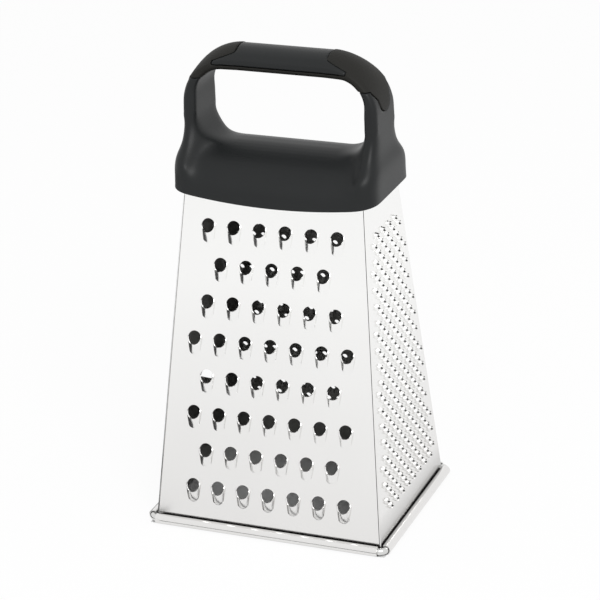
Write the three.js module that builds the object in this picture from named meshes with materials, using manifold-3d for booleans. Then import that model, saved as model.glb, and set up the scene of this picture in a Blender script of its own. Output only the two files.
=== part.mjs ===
// Four-sided box grater: pressed steel sides with rolled feet on a wire ring, and a moulded bail handle.
// Millimetres, +Z up. The origin is on the floor under the middle of the body. The coarse side faces -Y.
import * as THREE from 'three';
import Module from 'manifold-3d';
import { mergeVertices } from 'three/addons/utils/BufferGeometryUtils.js';
import { ConvexGeometry } from 'three/addons/geometries/ConvexGeometry.js';
import { LoftGeometry } from 'three/addons/geometries/LoftGeometry.js';

// Fits
const gap = 0.3; // clearance between neighbouring pieces

// Sheet body, outside sizes
const baseWidth = 112.6; // across the front at the floor
const baseDepth = 89; // front to back at the floor
const topWidth = 86.2; // across the front at the panels' top edges
const topDepth = 41.8; // front to back at the panels' top edges
const bodyHeight = 168; // floor to the panels' top edges
const sheet = 0.5; // thickness of the steel
const cornerReveal = 0.9; // strip of the side panels' bends seen past the front and back panels
const seamFlange = 3.5; // side panels' flanges, lapped behind the front and back panels
const tabWidth = 5; // tabs turned in at the panels' tops, under the handle
const tabSetback = 8; // from the body's corners to the tabs' ends

// Rolled feet and the wire inside them
const wireDiameter = 3.2;
const wireFit = 0.3; // clearance of the wire in its roll
const wireBend = 3; // radius of the wire's corners, at its middle
const rollEndInset = 0.8; // from the panels' corners to the rolls' ends
const rollSweep = THREE.MathUtils.degToRad(268); // how far the sheet curls round
const rollNeck = 0.6; // straight stretch of the sheet above the curl
const rollFacets = 12;
const wireFacets = 10;
const bendSteps = 4;

// Coarse side: round holes, each with its lower rim pressed out into a scoop
const coarse = {
  pitch: 12.5, rowSpacing: 17.9, topMargin: 23.6, bottomMargin: 18, sideMargin: 10, firstShift: 1,
  hole: 6.3, lip: 2.2, flank: 0.5, crest: 2.8, crestWidth: 3.4, tail: 8.3, tailWidth: 3,
};

// Medium side: small pierced holes
const medium = {
  pitch: 5.18, rowSpacing: 6.24, topMargin: 22, bottomMargin: 25, sideMargin: 8, firstShift: 0, hole: 3,
};

// Fine side: pierced burrs
const fine = {
  pitch: 8, rowSpacing: 3.94, topMargin: 24.8, bottomMargin: 16, sideMargin: 5.5, firstShift: 1,
  foot: 3.6, tip: 2, height: 1.6, hole: 1.3,
};

// Slicing side: long slanted slots, each with a raised blade below it
const slicing = {
  spacing: 29.5, topMargin: 23.5, bottomMargin: 20, sideMargin: 14, slant: THREE.MathUtils.degToRad(26.5),
  longest: 46, opening: 5, lip: 2.4, tail: 6.5, endRun: 6,
};

// Handle moulding, with heights measured up from the panels' top edges
const handleRise = 56.2; // to the top of the bar
const skirtMarginX = 6.1; // from the body's top to the skirt's ends
const skirtMarginY = 6.1; // from the body's top to the skirt's front and back
const skirtCorner = 9; // plan radius
const skirtDrop = 7.2; // how far the skirt hangs down at the ends and corners
const skirtDip = 4.3; // how much lower its edge hangs in the middle of the front and back
const shoulderDrop = 6; // down to where the skirt's front starts to round over
const saddleRise = 11.5; // to the top of the saddle
const saddleInset = 6; // from the skirt's ends to the saddle's
const saddleDepth = 4; // flat on its top
const roofCurve = 1.6; // fullness of its slopes: 1 is straight and 2 is an ellipse
const pocketRise = 6.5; // hollow under the saddle, between the screws
const pocketDepth = 12;
const skirtEndRise = 6; // to where the skirt's ends start to step in
const postFootRise = 12; // to where they have reached the posts' outer faces
const postInset = 2.6; // from the skirt's ends to the posts' outer faces
const postSpreadOut = 0.8; // how much further out the posts stand at their feet
const postThickness = 6.3;
const postDepth = 26;
const flareRise = 31; // from here down the posts grow deeper
const flareFootRise = 4; // to where they are as deep as the skirt
const flareCurve = 2.4; // how late they grow
const footRadius = 12; // where the posts meet the saddle
const footDepth = 18; // depth of the posts' feet at the edges next to the hand hole
const edgeRadius = 2.4; // long edges of the posts
const barThickness = 10;
const barDepth = 22;
const barCrown = 4.6; // how much lower the bar's top is at its front and back edges
const barEdgeRadius = 3.6; // long edges of the bar
const bendRadius = 26; // outside of the bail's corners
const palmRadius = 11.8; // inside of the bail's corners
const roundest = 0.9; // share of half a section's thickness that its edge radius may take

// Soft grip over the bail's corners and under its bar, with heights measured down from the bar's top
const gripWall = 1.2; // depth of the soft layer
const gripProud = 0.2; // how far it stands out from the hard moulding
const gripCoverTop = 24.6; // from the posts' outer faces to the grip's tips on the bar's top
const gripCoverFront = 14.6; // from the posts' outer faces to the grip's edges on the bar's face
const gripSlantTop = 2; // heights between which the edge slants across the bar's face
const gripSlantBottom = 5.9;
const gripLower = 14.4; // lower edge on the posts
const gripTongue = 25.6; // tongue's tip on the posts' outer faces
const gripTongueWidth = 13;
const palmStrip = 7.6; // upper edge of the strip under the bar

// Retainer inside the top, and its screws
const retainerThickness = 3;
const screwInset = 15.1; // from the body's top ends to the screws
const screwShank = 3;
const screwLength = 11;
const screwHead = 6.6;
const screwHeadHeight = 2.2;
const screwSlot = 1;
const bossDiameter = 10;

// Sizes that follow from these
const handleHeight = bodyHeight + handleRise;
const skirtWidth = topWidth + 2 * skirtMarginX;
const skirtDepth = topDepth + 2 * skirtMarginY;
const skirtEdge = bodyHeight - skirtDrop;
const saddleTop = bodyHeight + saddleRise;
const postSpread = skirtWidth - 2 * postInset;
const screwSpread = topWidth - 2 * screwInset;
const rollInner = wireDiameter / 2 + wireFit;
const rollOuter = rollInner + sheet;

const wasm = await Module();
wasm.setup();

const steel = new THREE.MeshStandardMaterial({ color: 0xd9d9d6, metalness: 1, roughness: 0.3 });
const wireSteel = new THREE.MeshStandardMaterial({ color: 0xb9b9b6, metalness: 1, roughness: 0.35 });
const hardPlastic = new THREE.MeshStandardMaterial({ color: 0x2f3131, metalness: 0, roughness: 0.55 });
const softRubber = new THREE.MeshStandardMaterial({ color: 0x3b3a36, metalness: 0, roughness: 0.8 });
const innerPlastic = new THREE.MeshStandardMaterial({ color: 0x262828, metalness: 0, roughness: 0.6 });
const screwSteel = new THREE.MeshStandardMaterial({ color: 0xa6a6a2, metalness: 1, roughness: 0.35 });

// Solid from a closed three.js geometry
function solid(geometry) {
  const bare = new THREE.BufferGeometry().copy(geometry);
  bare.deleteAttribute('normal');
  bare.deleteAttribute('uv');
  const merged = mergeVertices(bare, 1e-4);
  return new wasm.Manifold(new wasm.Mesh({
    numProp: 3,
    vertProperties: new Float32Array(merged.attributes.position.array),
    triVerts: new Uint32Array(merged.index.array),
  }));
}

// Named mesh from a finished solid
function piece(name, body, material) {
  const { vertProperties, triVerts } = body.getMesh();
  const geometry = new THREE.BufferGeometry();
  geometry.setAttribute('position', new THREE.BufferAttribute(vertProperties, 3));
  geometry.setIndex(new THREE.BufferAttribute(triVerts, 1));
  geometry.computeVertexNormals();
  const mesh = new THREE.Mesh(geometry, material);
  mesh.name = name;
  return mesh;
}

const hull = (points) => solid(new ConvexGeometry(points));
const union = (bodies) => bodies.reduce((sum, body) => sum.add(body));
const loft = (sections, capped) => solid(new LoftGeometry(sections, { capStart: capped, capEnd: capped }));
const point = (x, y, z) => new THREE.Vector3(x, y, z);

// Corner points of a block between two corners
function block(x0, x1, y0, y1, z0, z1) {
  return [x0, x1].flatMap((x) => [y0, y1].flatMap((y) => [z0, z1].map((z) => point(x, y, z))));
}

// Outline of a rectangle with rounded corners, anticlockwise
function roundedRectangle(halfA, halfB, radius, steps) {
  const r = Math.min(radius, halfA, halfB);
  const corners = [[1, 1], [-1, 1], [-1, -1], [1, -1]];
  return corners.flatMap(([a, b], quarter) => Array.from({ length: steps + 1 }, (_, i) => {
    const angle = (quarter + i / steps) * Math.PI / 2;
    return new THREE.Vector2(
      a * (halfA - r) + r * Math.cos(angle),
      b * (halfB - r) + r * Math.sin(angle),
    );
  }));
}

// Half width and half depth of the body's outer faces at a height
const halfWidth = (z) => THREE.MathUtils.lerp(baseWidth, topWidth, z / bodyHeight) / 2;
const halfDepth = (z) => THREE.MathUtils.lerp(baseDepth, topDepth, z / bodyHeight) / 2;

// A panel's own frame: x across, y up its slope, z outward, and the origin on its outer face at the floor.
// reach(z) is the outer face's distance from the body's axis, and half(z) is half the panel's width.
function panelFrame(reach, half) {
  const lean = Math.atan2(reach(0) - reach(bodyHeight), bodyHeight);
  const sin = Math.sin(lean);
  const cos = Math.cos(lean);
  const rollMiddle = (rollOuter - rollInner * sin) / cos;
  return {
    lean,
    half,
    length: bodyHeight / cos,
    rollMiddle,
    halfAt: (y) => half(y * cos),
    wireReach: reach(0) + rollInner * cos - rollMiddle * sin,
    inside: (x, z, depth) => point(x, z / cos + depth * sin, -depth * cos),
    floorOffset: reach(0),
  };
}

const broadFrame = panelFrame(halfDepth, (z) => halfWidth(z) - cornerReveal);
const sideFrame = panelFrame(halfWidth, (z) => halfDepth(z) - sheet - gap);

// Curled foot: the sheet turns outward, down and round the wire, with a flat facet on the floor
function rolledFoot(frame, halfLength) {
  const step = 2 * Math.PI / rollFacets;
  const down = Math.PI / 2 - frame.lean;
  const firstTurn = down + step / 2 - step * Math.floor((down + step / 4) / step);
  const turns = [];
  for (let turn = firstTurn; turn < rollSweep - step / 4; turn += step) turns.push(turn);
  const ring = (radius) => [
    [0, radius],
    ...turns.map((turn) => [turn, radius / Math.cos(step / 2)]),
    [rollSweep, radius],
  ].map(([turn, r]) => new THREE.Vector2(
    r * Math.cos(turn) - rollInner,
    frame.rollMiddle - r * Math.sin(turn),
  ));
  const neck = frame.rollMiddle + rollNeck;
  const outline = [
    new THREE.Vector2(sheet, neck),
    ...ring(rollOuter),
    ...ring(rollInner).reverse(),
    new THREE.Vector2(0, neck),
  ];
  const geometry = new THREE.ExtrudeGeometry(new THREE.Shape(outline), {
    depth: 2 * halfLength, bevelEnabled: false, steps: 1,
  });
  return solid(geometry.translate(0, 0, -halfLength).rotateY(Math.PI / 2));
}

// Plain panel: sheet, rolled foot, top tab and, on the side panels, the flanges of the corner seams
function plainPanel(frame, rollHalf, tabHalf, flanged) {
  const ends = [frame.rollMiddle, frame.length];
  const plate = hull(ends.flatMap((y) => [-1, 1].flatMap((side) => [0, -sheet].map(
    (z) => point(side * frame.halfAt(y), y, z),
  ))));
  const tab = hull(block(-tabHalf, tabHalf, 0, tabWidth, bodyHeight - sheet, bodyHeight)
    .map(({ x, y, z }) => frame.inside(x, z, y)));
  const parts = [plate, rolledFoot(frame, rollHalf), tab];
  if (flanged) {
    for (const side of [-1, 1]) {
      const corners = [2 * rollOuter, bodyHeight].flatMap((z) => [0, sheet].flatMap((inset) => (
        [0, seamFlange].map((depth) => frame.inside(side * (frame.half(z) - inset), z, depth))
      )));
      parts.push(hull(corners));
    }
  }
  return union(parts);
}

// Places of a staggered pattern that fits the panel inside its margins
function staggered(frame, pattern) {
  const places = [];
  const top = frame.length - pattern.topMargin;
  const rows = Math.floor((top - pattern.bottomMargin) / pattern.rowSpacing + 1e-6) + 1;
  for (let row = 0; row < rows; row++) {
    const y = top - row * pattern.rowSpacing;
    const shift = (row + pattern.firstShift) % 2 / 2;
    const reach = (frame.halfAt(y) - pattern.sideMargin) / pattern.pitch;
    const last = Math.floor(reach - shift) + shift;
    for (let column = -last; column <= last + 1e-6; column++) places.push([column * pattern.pitch, y]);
  }
  return places;
}

// Bodies of one shape at many places
const spread = (geometry, places) => wasm.Manifold.union(
  places.map(([x, y]) => solid(geometry.clone().translate(x, y, 0))),
);

// Round hole through the sheet and through what is raised on it
const roundHole = (diameter, height, facets) => new THREE.CylinderGeometry(
  diameter / 2, diameter / 2, height + 4 * sheet, facets,
).rotateX(Math.PI / 2).translate(0, 0, height / 2);

// Scoop round the lower half of a hole, its crest at the hole's rim and its tail further down.
// The inset draws its walls in, for the hollow behind it.
function scoop(inset, floor) {
  const { hole, lip, flank, crest, crestWidth, tail, tailWidth } = coarse;
  const half = hole / 2 + flank - inset;
  return new ConvexGeometry([-1, 1].flatMap((side) => [
    point(side * half, 0, floor),
    point(side * half, -crest / 2, floor),
    point(side * half, -crest / 2, lip / 2 - inset),
    point(side * (crestWidth - inset) / 2, -crest, lip - inset),
    point(side * (tailWidth - inset) / 2, -tail + 2 * inset, floor),
  ]));
}

function coarsePanel() {
  const places = staggered(broadFrame, coarse);
  return plainPanel(broadFrame, baseWidth / 2 - rollEndInset, topWidth / 2 - tabSetback, false)
    .add(spread(scoop(0, -sheet / 2), places))
    .subtract(spread(scoop(sheet, -2 * sheet), places))
    .subtract(spread(roundHole(coarse.hole, coarse.lip, 8), places));
}

function mediumPanel() {
  return plainPanel(broadFrame, baseWidth / 2 - rollEndInset, topWidth / 2 - tabSetback, false)
    .subtract(spread(roundHole(medium.hole, 0, 3), staggered(broadFrame, medium)));
}

function finePanel() {
  const places = staggered(sideFrame, fine);
  const { foot, tip, height, hole } = fine;
  const burr = new THREE.CylinderGeometry(tip / 2, foot / 2, height + sheet / 2, 3)
    .rotateX(Math.PI / 2).translate(0, 0, height / 2 - sheet / 4);
  return plainPanel(sideFrame, baseDepth / 2 - rollEndInset, topDepth / 2 - tabSetback, true)
    .add(spread(burr, places))
    .subtract(spread(roundHole(hole, height, 3), places));
}

// One slicing slot of a given length: a straight opening with a blade raised along its lower edge
function slot(length, endRun, lip, tail, floor, mouth) {
  const half = length / 2;
  return new ConvexGeometry([-1, 1].flatMap((side) => [
    point(side * half, mouth, floor),
    point(side * (half - endRun), mouth, lip),
    point(side * (half - endRun), -tail, floor),
  ]));
}

function slicingPanel() {
  const { spacing, topMargin, bottomMargin, sideMargin, slant } = slicing;
  const { longest, opening, lip, tail, endRun } = slicing;
  let body = plainPanel(sideFrame, baseDepth / 2 - rollEndInset, topDepth / 2 - tabSetback, true);
  for (let y = sideFrame.length - topMargin; y > bottomMargin; y -= spacing) {
    const long = Math.min(longest, 2 * (sideFrame.halfAt(y) - sideMargin) / Math.cos(slant));
    const half = (long - endRun) / 2;
    const place = (geometry) => solid(geometry.rotateZ(slant).translate(0, y, 0));
    const outside = slot(long, endRun, lip, tail, -sheet / 2, 0);
    const inside = slot(long - 2 * sheet, endRun, lip - sheet, tail - 2 * sheet, -2 * sheet, sheet);
    const window = new ConvexGeometry(block(-half, half, 0, opening, -2 * sheet, sheet));
    body = body.add(place(outside)).subtract(place(inside)).subtract(place(window));
  }
  return body;
}

// Closed wire ring, round section, along a rectangle with bent corners
function baseWire() {
  const path = roundedRectangle(sideFrame.wireReach, broadFrame.wireReach, wireBend, bendSteps);
  const section = path.map(({ x, y }, i) => {
    const turn = (Math.floor(i / (bendSteps + 1)) + (i % (bendSteps + 1)) / bendSteps) * Math.PI / 2;
    return Array.from({ length: wireFacets }, (_, k) => {
      const angle = 2 * Math.PI * k / wireFacets;
      const out = wireDiameter / 2 * Math.cos(angle);
      const drop = wireDiameter / 2 * Math.sin(angle);
      return point(x + out * Math.cos(turn), y + out * Math.sin(turn), rollOuter - drop);
    });
  });
  return loft([...section, section[0]], false);
}

// The bail as a strap: its stations from the right foot over the bar to the left foot.
// Each station has the strap's outer and inner edge in XZ, its half depth at both, its edge radius and
// its crown, the share of its outer half that is lost at the front and back edges.
function strapStations() {
  const outerX = postSpread / 2;
  const innerX = outerX - postThickness;
  const innerZ = handleHeight - barThickness;
  const cornerX = outerX - bendRadius;
  const cornerZ = handleHeight - bendRadius;
  const outerPath = new THREE.Path();
  outerPath.absarc(cornerX, cornerZ, bendRadius, 0, Math.PI / 2, false);
  const innerPath = new THREE.Path();
  innerPath.moveTo(innerX, cornerZ);
  innerPath.lineTo(innerX, innerZ - palmRadius);
  innerPath.absarc(innerX - palmRadius, innerZ - palmRadius, palmRadius, 0, Math.PI / 2, false);
  innerPath.lineTo(cornerX, innerZ);
  const right = [];
  const footSteps = 13;
  const { lerp, clamp, smoothstep } = THREE.MathUtils;
  for (let i = 0; i < footSteps; i++) {
    const z = lerp(bodyHeight - shoulderDrop, cornerZ, i / footSteps);
    const rise = z - bodyHeight;
    const drop = clamp(saddleTop + footRadius - z, 0, footRadius);
    const fillet = footRadius - Math.sqrt(footRadius ** 2 - drop ** 2);
    const flare = clamp((flareRise - rise) / (flareRise - flareFootRise), 0, 1) ** flareCurve;
    const depth = lerp(postDepth, skirtDepth - gap, flare);
    const lean = postSpreadOut * (cornerZ - z) / (cornerZ - bodyHeight);
    const step = 1 - smoothstep(rise, skirtEndRise, postFootRise);
    right.push({
      outer: new THREE.Vector2(lerp(outerX + lean, (skirtWidth - gap) / 2, step), z),
      inner: new THREE.Vector2(innerX + lean - fillet, z),
      outerHalf: depth / 2,
      innerHalf: lerp(depth, Math.min(depth, footDepth), fillet / footRadius) / 2,
      radius: lerp(edgeRadius, skirtCorner, flare),
      crown: 0,
    });
  }
  const cornerSteps = 8;
  for (let i = 0; i <= cornerSteps; i++) {
    const t = i / cornerSteps;
    const depth = lerp(postDepth, barDepth, t);
    const outer = outerPath.getPointAt(t);
    const inner = innerPath.getPointAt(t);
    right.push({
      outer,
      inner,
      outerHalf: depth / 2,
      innerHalf: depth / 2,
      radius: lerp(edgeRadius, barEdgeRadius, t),
      crown: 2 * barCrown * smoothstep(t, 0, 1) / outer.distanceTo(inner),
    });
  }
  const mirror = ({ x, y }) => new THREE.Vector2(-x, y);
  const left = right.map((s) => ({ ...s, outer: mirror(s.outer), inner: mirror(s.inner) })).reverse();
  return [...right, ...left];
}

// The strap as a solid, grown or shrunk all round
function strap(growth) {
  const edgeSteps = 2;
  const crownSteps = 4;
  return loft(strapStations().map(({ outer, inner, outerHalf, innerHalf, radius, crown }) => {
    const middle = outer.clone().add(inner).divideScalar(2);
    const across = outer.clone().sub(inner);
    const halfThickness = across.length() / 2 + growth;
    across.normalize();
    const halfDeep = outerHalf + growth;
    const round = THREE.MathUtils.clamp(radius + growth, sheet, roundest * halfThickness);
    const ring = roundedRectangle(halfThickness, halfDeep, round, edgeSteps);
    const outerEnd = ring[0].y;
    for (let i = 1; i < crownSteps; i++) {
      ring.push(new THREE.Vector2(halfThickness, THREE.MathUtils.lerp(-outerEnd, outerEnd, i / crownSteps)));
    }
    return ring.map(({ x, y }) => {
      const narrowing = x < 0 ? (innerHalf + growth) / halfDeep : 1;
      const sunk = x > 0 ? x * (1 - crown * (y / halfDeep) ** 2) : x;
      return point(middle.x + across.x * sunk, y * narrowing, middle.y + across.y * sunk);
    });
  }), true);
}

// Prism along Y from an outline in the XZ plane
function frontPrism(outline, halfLength) {
  const shape = new THREE.Shape(outline);
  const geometry = new THREE.ExtrudeGeometry(shape, { depth: 2 * halfLength, bevelEnabled: false });
  return solid(geometry.translate(0, 0, -halfLength).rotateX(Math.PI / 2));
}

// Skirt and saddle: an upright band that slopes up to the flat on top
function saddleBody() {
  const domeSteps = 8;
  const cornerSteps = 4;
  const shoulder = bodyHeight - shoulderDrop;
  const section = (inset, depth, z) => {
    const radius = Math.min(skirtCorner, roundest * depth / 2);
    return roundedRectangle(skirtWidth / 2 - inset, depth / 2, radius, cornerSteps)
      .map(({ x, y }) => point(x, y, z));
  };
  const dome = Array.from({ length: domeSteps }, (_, i) => {
    const turn = i / (domeSteps - 1) * Math.PI / 2;
    const over = 1 - Math.max(Math.cos(turn), 0) ** (2 / roofCurve);
    return section(
      saddleInset * over,
      THREE.MathUtils.lerp(skirtDepth, saddleDepth, over),
      THREE.MathUtils.lerp(shoulder, saddleTop, Math.sin(turn) ** (2 / roofCurve)),
    );
  });
  return loft([section(0, skirtDepth, skirtEdge - 2 * skirtDip), ...dome], true);
}

// Everything under the skirt's lower edge, which dips in the middle of the front and back
function belowSkirt() {
  const half = skirtWidth / 2;
  const low = skirtEdge - 4 * skirtDip;
  const shape = new THREE.Shape();
  shape.moveTo(-half, low);
  shape.lineTo(half, low);
  shape.lineTo(half, skirtEdge);
  shape.quadraticCurveTo(0, skirtEdge - 2 * skirtDip, -half, skirtEdge);
  return frontPrism(shape.getPoints(8), skirtDepth);
}

// Room for the sheet body inside the skirt
function bodyRoom(margin) {
  const bottom = skirtEdge - 4 * skirtDip;
  return hull([bottom, bodyHeight + margin].flatMap((z) => [-1, 1].flatMap((a) => [-1, 1].map(
    (b) => point(a * (halfWidth(z) + margin), b * (halfDepth(z) + margin), z),
  ))));
}

// Space that the soft grip takes up, with its edges drawn in by an inset
function gripSpace(inset) {
  const outerX = postSpread / 2;
  const topX = outerX - gripCoverTop + inset;
  const frontX = outerX - gripCoverFront + inset;
  const high = handleHeight + barThickness;
  const low = handleHeight - gripLower + inset;
  const shoulders = [-1, 1].map((side) => frontPrism([
    new THREE.Vector2(side * topX, high),
    new THREE.Vector2(side * topX, handleHeight - gripSlantTop),
    new THREE.Vector2(side * frontX, handleHeight - gripSlantBottom),
    new THREE.Vector2(side * frontX, low),
    new THREE.Vector2(side * postSpread, low),
    new THREE.Vector2(side * postSpread, high),
  ], barDepth));
  const stripX = frontX + edgeRadius;
  const strip = hull(block(-stripX, stripX, -barDepth, barDepth, low, handleHeight - palmStrip - inset));
  const tongues = [-1, 1].map((side) => {
    const round = gripTongueWidth / 2;
    const shape = new THREE.Shape();
    shape.absarc(0, handleHeight - gripTongue + round, round - inset, Math.PI, 2 * Math.PI, false);
    shape.lineTo(postDepth / 2 - inset, low + edgeRadius);
    shape.lineTo(-postDepth / 2 + inset, low + edgeRadius);
    const options = { depth: postThickness, bevelEnabled: false, curveSegments: 8 };
    return solid(new THREE.ExtrudeGeometry(shape, options)
      .rotateX(Math.PI / 2).rotateZ(Math.PI / 2).translate(side * outerX - postThickness / 2, 0, 0));
  });
  return union([...shoulders, strip, ...tongues]);
}

const screwPlaces = [-1, 1].map((side) => side * screwSpread / 2);
const retainerTop = bodyHeight - sheet - gap;
const retainerBottom = retainerTop - retainerThickness;
const screwTop = retainerBottom - gap + screwLength;

// Upright round bar between two heights
function roundBar(x, diameter, bottom, top, facets) {
  return solid(new THREE.CylinderGeometry(diameter / 2, diameter / 2, top - bottom, facets)
    .rotateX(Math.PI / 2).translate(x, 0, (bottom + top) / 2));
}

function handleFrame() {
  const bail = strap(0).subtract(gripSpace(0)).add(strap(-gripWall));
  const pocketHalf = (screwSpread - bossDiameter) / 2;
  const pocket = hull(block(-pocketHalf, pocketHalf, -pocketDepth / 2, pocketDepth / 2,
    bodyHeight, bodyHeight + pocketRise));
  let body = bail.add(saddleBody()).subtract(belowSkirt()).subtract(bodyRoom(gap)).subtract(pocket);
  for (const x of screwPlaces) {
    body = body.subtract(roundBar(x, screwShank + 2 * gap, bodyHeight, screwTop + gap, 10));
  }
  return body;
}

const softGrip = () => strap(gripProud).intersect(gripSpace(gap)).subtract(strap(gap - gripWall));

function retainerPlate() {
  const halfX = halfWidth(retainerTop) - sheet - 2 * gap;
  const halfY = halfDepth(retainerTop) - 2 * sheet - 3 * gap;
  let plate = hull(block(-halfX, halfX, -halfY, halfY, retainerBottom, retainerTop));
  for (const x of screwPlaces) {
    plate = plate.subtract(roundBar(x, screwShank + 2 * gap, retainerBottom - 1, retainerTop + 1, 12));
  }
  return plate;
}

// Slotted pan-head screw, pointing up
function retainerScrew() {
  const profile = [
    [0, -screwHeadHeight], [screwHead / 3, -screwHeadHeight], [screwHead / 2, -screwHeadHeight / 2],
    [screwHead / 2, 0], [screwShank / 2, 0], [screwShank / 2, screwLength - screwShank], [0, screwLength],
  ].map(([x, y]) => new THREE.Vector2(x, y));
  const turned = solid(new THREE.LatheGeometry(profile, 12).rotateX(Math.PI / 2));
  return turned.subtract(hull(block(-screwHead, screwHead, -screwSlot / 2, screwSlot / 2,
    -2 * screwHeadHeight, -screwHeadHeight / 2)));
}

const grater = new THREE.Group();

// Panels stand round the body, each turned to its own side
const sides = [
  ['coarse_panel', coarsePanel(), broadFrame, 0],
  ['fine_panel', finePanel(), sideFrame, 1],
  ['medium_panel', mediumPanel(), broadFrame, 2],
  ['slicing_panel', slicingPanel(), sideFrame, 3],
];
for (const [name, body, frame, quarterTurns] of sides) {
  const side = new THREE.Group();
  side.rotation.z = quarterTurns * Math.PI / 2;
  const panel = piece(name, body, steel);
  panel.position.y = -frame.floorOffset;
  panel.rotation.x = Math.PI / 2 - frame.lean;
  side.add(panel);
  grater.add(side);
}

grater.add(piece('base_wire', baseWire(), wireSteel));
grater.add(piece('handle_frame', handleFrame(), hardPlastic));
grater.add(piece('soft_grip', softGrip(), softRubber));
grater.add(piece('retainer_plate', retainerPlate(), innerPlastic));

const screwNames = ['retainer_screw_left', 'retainer_screw_right'];
screwPlaces.forEach((x, i) => {
  const screw = piece(screwNames[i], retainerScrew(), screwSteel);
  screw.position.set(x, 0, retainerBottom - gap);
  grater.add(screw);
});

export default grater;
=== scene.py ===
import math

import bmesh
import bpy
from mathutils import Matrix, Vector


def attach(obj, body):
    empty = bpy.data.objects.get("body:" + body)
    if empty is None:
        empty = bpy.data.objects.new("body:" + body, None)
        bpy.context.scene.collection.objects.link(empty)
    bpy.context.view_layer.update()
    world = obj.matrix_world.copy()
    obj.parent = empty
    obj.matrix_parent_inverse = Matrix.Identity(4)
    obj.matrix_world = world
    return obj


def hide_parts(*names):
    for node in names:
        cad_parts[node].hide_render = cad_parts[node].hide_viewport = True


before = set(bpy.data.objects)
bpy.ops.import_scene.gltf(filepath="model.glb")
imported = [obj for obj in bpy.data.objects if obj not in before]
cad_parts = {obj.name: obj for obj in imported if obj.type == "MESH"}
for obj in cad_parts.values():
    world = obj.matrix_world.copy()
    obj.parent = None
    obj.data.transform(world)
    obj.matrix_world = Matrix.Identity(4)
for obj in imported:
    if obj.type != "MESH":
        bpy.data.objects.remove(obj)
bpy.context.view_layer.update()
print("frame loaded")

# All pieces are drawn in millimetres and brought to metres when they are finished.
metre = 0.001
quarter = math.pi / 2
samePlace = 1e-3  # points closer than this count as one
rounding = 1e-6


def lerp(a, b, t):
    return a + (b - a) * t


def clamp(value, low, high):
    return max(low, min(high, value))


def smoothStep(t):
    t = clamp(t, 0, 1)
    return t * t * (3 - 2 * t)


# Sizes of the sheet body that several pieces share
sheetBody = {
    "baseWidth": 112.6, "baseDepth": 89.0, "topWidth": 86.2, "topDepth": 41.8, "height": 168.0,
    "sheet": 0.5, "gap": 0.3, "seamStep": 0.1, "cornerReveal": 0.85, "bendRadius": 0.6, "bendSteps": 6,
    "edgeReturn": 2.5, "tabWidth": 4.6, "tabSetback": 8.0, "wireRadius": 1.6, "wireFit": 0.3,
    "broadRoll": math.radians(270), "narrowRoll": math.radians(300), "rollSteps": 28,
}


def halfWidth(z):
    return lerp(sheetBody["baseWidth"], sheetBody["topWidth"], z / sheetBody["height"]) / 2


def halfDepth(z):
    return lerp(sheetBody["baseDepth"], sheetBody["topDepth"], z / sheetBody["height"]) / 2


class Side:
    # One side's own frame: x across, y up its slope, z outward, origin on its outer face at the floor
    def __init__(self, reach, half, topWidth, rollSweep, bentEdges):
        height = sheetBody["height"]
        self.tabHalf = topWidth / 2 - sheetBody["tabSetback"]
        self.rollSweep = rollSweep
        self.bentEdges = bentEdges
        self.lean = math.atan2(reach(0) - reach(height), height)
        self.cos = math.cos(self.lean)
        self.sin = math.sin(self.lean)
        self.floorOffset = reach(0)
        self.half = half
        self.length = height / self.cos
        self.rollInner = sheetBody["wireRadius"] + sheetBody["wireFit"]
        self.rollOuter = self.rollInner + sheetBody["sheet"]
        self.rollMiddle = (self.rollOuter - self.rollInner * self.sin) / self.cos
        self.wireReach = reach(0) + self.rollInner * self.cos - self.rollMiddle * self.sin

    def halfAt(self, y):
        return self.half(y * self.cos)

    def placed(self, turns):
        stand = Matrix.Rotation(quarter - self.lean, 4, "X")
        forward = Matrix.Translation((0, -self.floorOffset, 0))
        return Matrix.Rotation(turns * quarter, 4, "Z") @ forward @ stand


bentIn = sheetBody["seamStep"] + sheetBody["bendRadius"]
broadSide = Side(
    halfDepth, lambda z: halfWidth(z) - sheetBody["cornerReveal"], sheetBody["topWidth"],
    sheetBody["broadRoll"], bentEdges=False,
)
narrowSide = Side(
    halfWidth, lambda z: halfDepth(z) - bentIn, sheetBody["topDepth"],
    sheetBody["narrowRoll"], bentEdges=True,
)


# Modelling helpers
def pickOnly(*objects):
    bpy.ops.object.select_all(action="DESELECT")
    for obj in objects:
        obj.select_set(True)
    bpy.context.view_layer.objects.active = objects[0]


def editMesh(obj):
    mesh = bmesh.from_edit_mesh(obj.data)
    mesh.verts.ensure_lookup_table()
    mesh.edges.ensure_lookup_table()
    return mesh


def startLoop(points):
    # A circle whose corners are moved onto the given points; edit mode stays on with the loop selected
    bpy.ops.object.select_all(action="DESELECT")
    bpy.ops.mesh.primitive_circle_add(vertices=len(points), radius=1, fill_type="NOTHING")
    loop = bpy.context.active_object
    bpy.ops.object.mode_set(mode="EDIT")
    bpy.ops.mesh.select_mode(type="VERT")
    bpy.ops.mesh.select_all(action="SELECT")
    mesh = editMesh(loop)
    for vert, place in zip(mesh.verts, points):
        vert.co = place
    bmesh.update_edit_mesh(loop.data)
    return loop


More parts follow.
